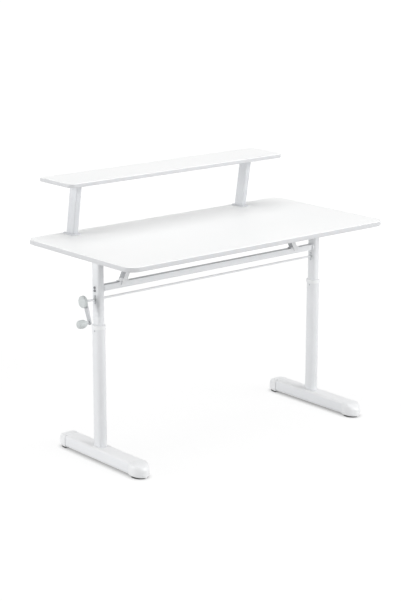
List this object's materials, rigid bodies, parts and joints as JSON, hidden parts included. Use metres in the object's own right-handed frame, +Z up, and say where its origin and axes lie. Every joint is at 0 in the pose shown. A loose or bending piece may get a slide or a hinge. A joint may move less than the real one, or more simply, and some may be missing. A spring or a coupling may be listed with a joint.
{
  "type": "height adjustable desk",
  "caption": "White hand cranked height adjustable desk with a raised monitor shelf, telescopic T-shaped legs and a crossbeam over the drive rod.",
  "frame": {"origin": "on the floor, under the middle of the desk's overall box, with the crank counted in", "axes": "+X along the desk's length, away from the crank; +Y away from the user, towards the shelf; +Z up"},
  "size_m": [1.215, 0.641, 0.968],
  "materials": {
    "white_paint": "satin powder coat",
    "white_laminate": "white laminate on board",
    "white_edge": "satin edging",
    "white_plastic": "satin",
    "grey_plastic": "matt",
    "dark_rubber": "matt",
    "zinc_steel": "zinc plated",
    "cast_aluminium": "as cast",
    "yellow_brass": "machined"
  },
  "bodies": {
    "base": {"foot_left": "white_paint", "foot_right": "white_paint", "outer_column_left": "white_paint", "outer_column_right": "white_paint", "nut_post_left": "zinc_steel", "nut_post_right": "zinc_steel", "lead_nut_left": "yellow_brass", "lead_nut_right": "yellow_brass", "collar_left": "white_plastic", "collar_right": "white_plastic", "collar_screw_left": "zinc_steel", "collar_screw_right": "zinc_steel", "column_bolt_left": "zinc_steel", "column_bolt_right": "zinc_steel", "foot_cap_left_front": "white_plastic", "foot_cap_left_back": "white_plastic", "foot_cap_right_front": "white_plastic", "foot_cap_right_back": "white_plastic", "foot_pad_left_front": "dark_rubber", "foot_pad_left_back": "dark_rubber", "foot_pad_right_front": "dark_rubber", "foot_pad_right_back": "dark_rubber"},
    "lift": {"inner_column_left": "white_paint", "inner_column_right": "white_paint", "slide_bush_left": "grey_plastic", "slide_bush_right": "grey_plastic", "gear_housing_left": "cast_aluminium", "gear_housing_right": "cast_aluminium", "thrust_bearing_left": "zinc_steel", "thrust_bearing_right": "zinc_steel", "brace_left": "white_paint", "brace_right": "white_paint", "shelf_support_left": "white_paint", "shelf_support_right": "white_paint", "beam_bolt_left_high": "zinc_steel", "beam_bolt_left_low": "zinc_steel", "beam_bolt_right_high": "zinc_steel", "beam_bolt_right_low": "zinc_steel", "housing_screw_left_high": "zinc_steel", "housing_screw_left_low": "zinc_steel", "housing_screw_right_high": "zinc_steel", "housing_screw_right_low": "zinc_steel", "rod_bush_left_outer": "grey_plastic", "rod_bush_left_inner": "grey_plastic", "rod_bush_right_inner": "grey_plastic", "crossbeam": "white_paint", "desktop": "white_laminate", "desktop_edge": "white_edge", "shelf": "white_laminate", "shelf_edge": "white_edge"},
    "crank": {"crank_hub": "grey_plastic", "crank_arm": "white_paint", "drive_rod": "zinc_steel", "drive_gear_left": "zinc_steel", "drive_gear_right": "zinc_steel"},
    "knob": {"crank_knob": "grey_plastic"},
    "screw_left": {"lead_screw_left": "zinc_steel", "driven_gear_left": "zinc_steel"},
    "screw_right": {"lead_screw_right": "zinc_steel", "driven_gear_right": "zinc_steel"}
  },
  "joints": [
    {"name": "desk_lift", "type": "slide", "parent": "base", "child": "lift", "axis": [0, 0, 1], "range_m": [-0.065, 0.285]},
    {"name": "crank_turn", "type": "hinge", "parent": "lift", "child": "crank", "pos_m": [-0.56775, -0.0205, 0.589], "axis": [1, 0, 0], "range_deg": [-4680, 20520]},
    {"name": "screw_left_turn", "type": "hinge", "parent": "lift", "child": "screw_left", "pos_m": [-0.5025, -0.0205, 0.589], "axis": [0, 0, 1], "range_deg": [-4680, 20520]},
    {"name": "screw_right_turn", "type": "hinge", "parent": "lift", "child": "screw_right", "pos_m": [0.5275, -0.0205, 0.589], "axis": [0, 0, 1], "range_deg": [-4680, 20520]},
    {"name": "knob_spin", "type": "hinge", "parent": "crank", "child": "knob", "pos_m": [-0.5722, -0.0455, 0.519], "axis": [1, 0, 0], "continuous": true}
  ],
  "couplings": [
    {"joint": "crank_turn", "follows": "desk_lift", "rad_per_m": 1256.6},
    {"joint": "screw_left_turn", "follows": "desk_lift", "rad_per_m": 1256.6},
    {"joint": "screw_right_turn", "follows": "desk_lift", "rad_per_m": 1256.6}
  ]
}
